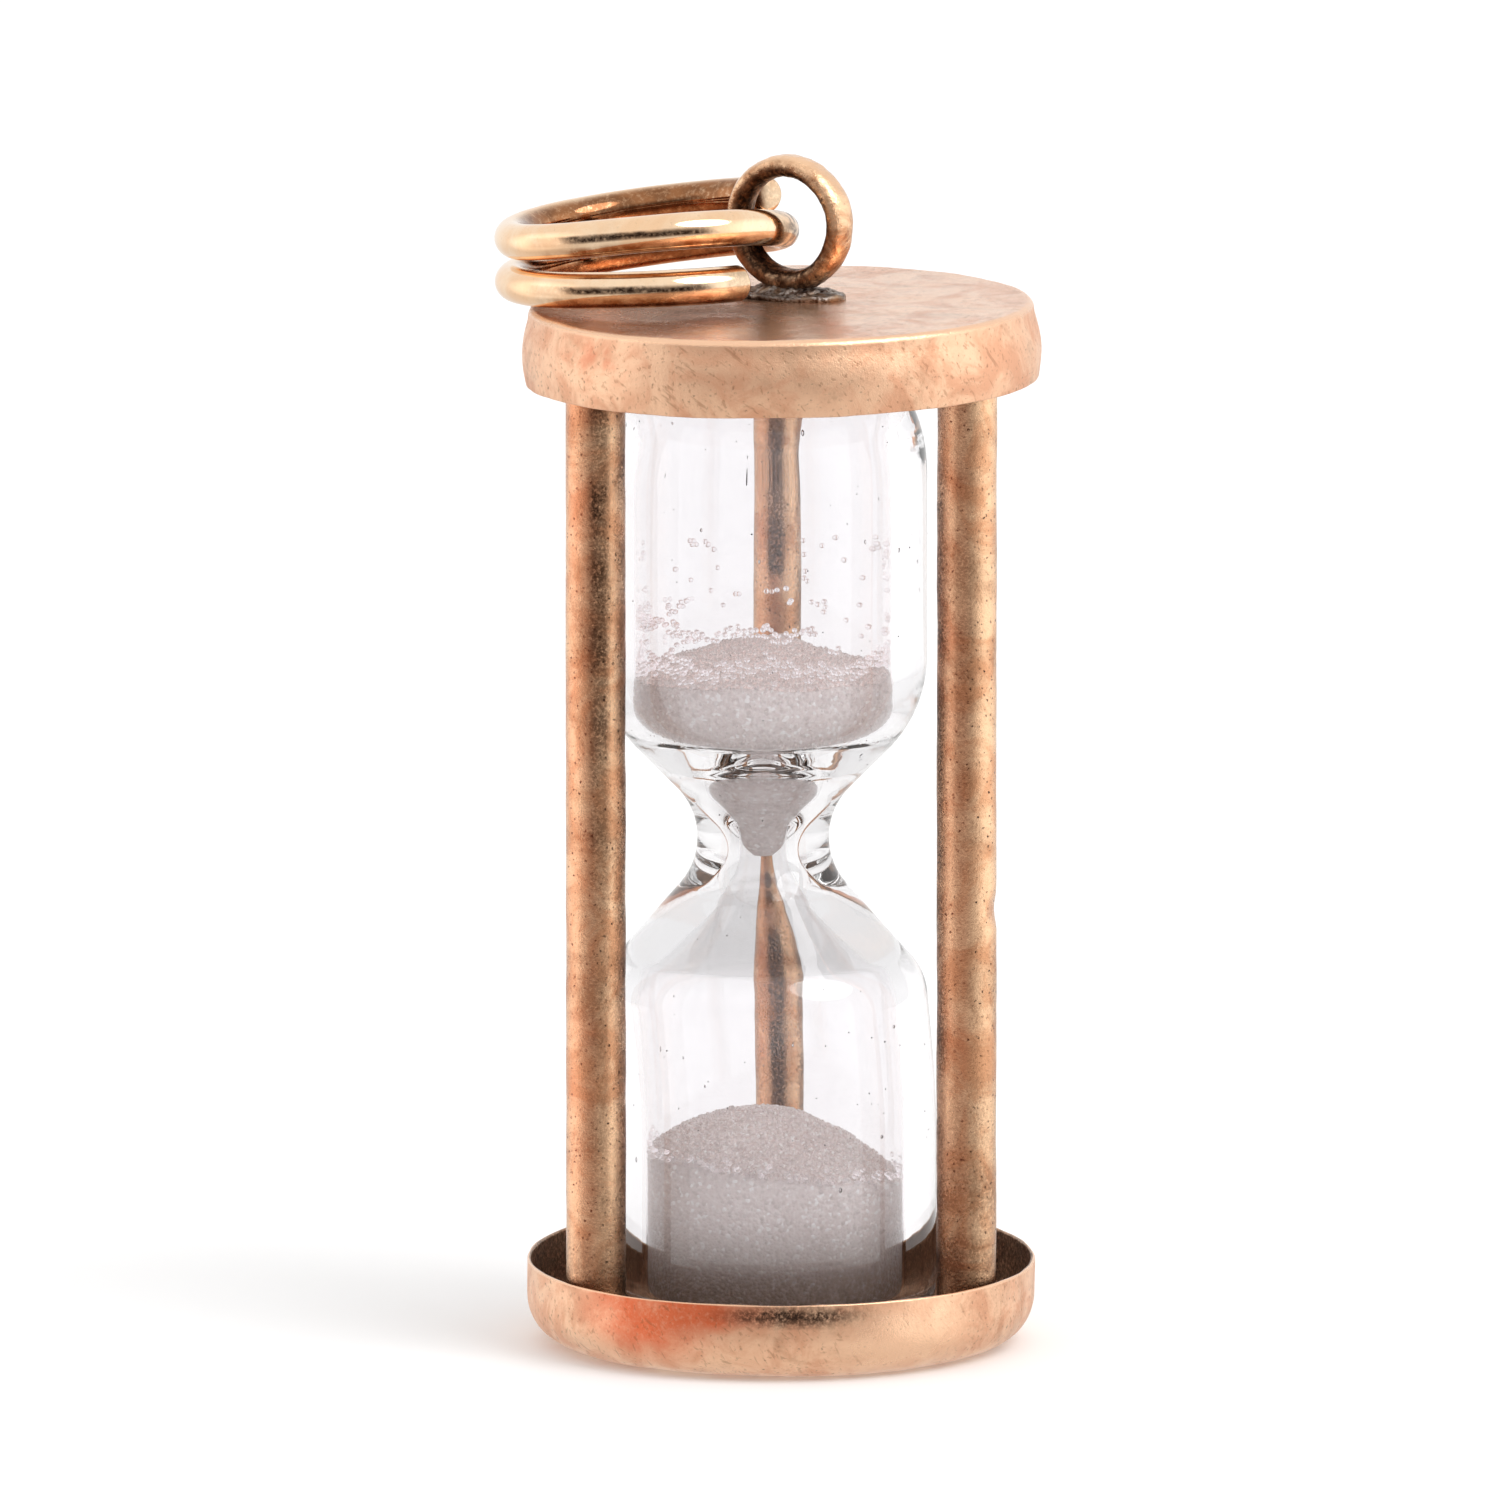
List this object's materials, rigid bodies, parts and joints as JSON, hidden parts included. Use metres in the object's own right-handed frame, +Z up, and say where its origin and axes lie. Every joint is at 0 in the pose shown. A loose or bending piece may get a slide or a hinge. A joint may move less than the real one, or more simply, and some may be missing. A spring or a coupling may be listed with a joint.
{
  "type": "hourglass charm",
  "caption": "Miniature sandglass charm: glass vial with glass-bead sand in a cage of round caps and rods, with a soldered loop and a split ring.",
  "frame": {"origin": "centre of the bottom cap's flat underside", "axes": "+Z up through both caps, -Y towards the front, where the two front rods stand at -X and +X"},
  "size_m": [0.0124, 0.0118, 0.0273],
  "materials": {
    "gold": "worn satin rose gold with brown tarnish",
    "polished_gold": "polished rose gold wire",
    "solder": "dull grainy grey-brown solder",
    "glass": "clear lamp-worked glass",
    "sand": "fine white glass beads"
  },
  "bodies": {
    "root": {"bottom_cap": "gold", "top_cap": "gold", "rod_left": "gold", "rod_right": "gold", "rod_back": "gold", "solder_lower_left": "solder", "solder_lower_right": "solder", "solder_lower_back": "solder", "solder_upper_left": "solder", "solder_upper_right": "solder", "solder_upper_back": "solder", "vial": "glass", "vial_seal": "glass", "sand_upper": "sand", "sand_lower": "sand", "bail": "gold", "bail_solder": "solder"},
    "ring": {"split_ring": "polished_gold"}
  },
  "joints": [
    {"name": "ring_swing", "type": "hinge", "parent": "root", "child": "ring", "pos_m": [0.00019, 0.0009, 0.02568], "axis": [0.515, 0.8572, 0.0081], "range_deg": [0, 192]}
  ]
}
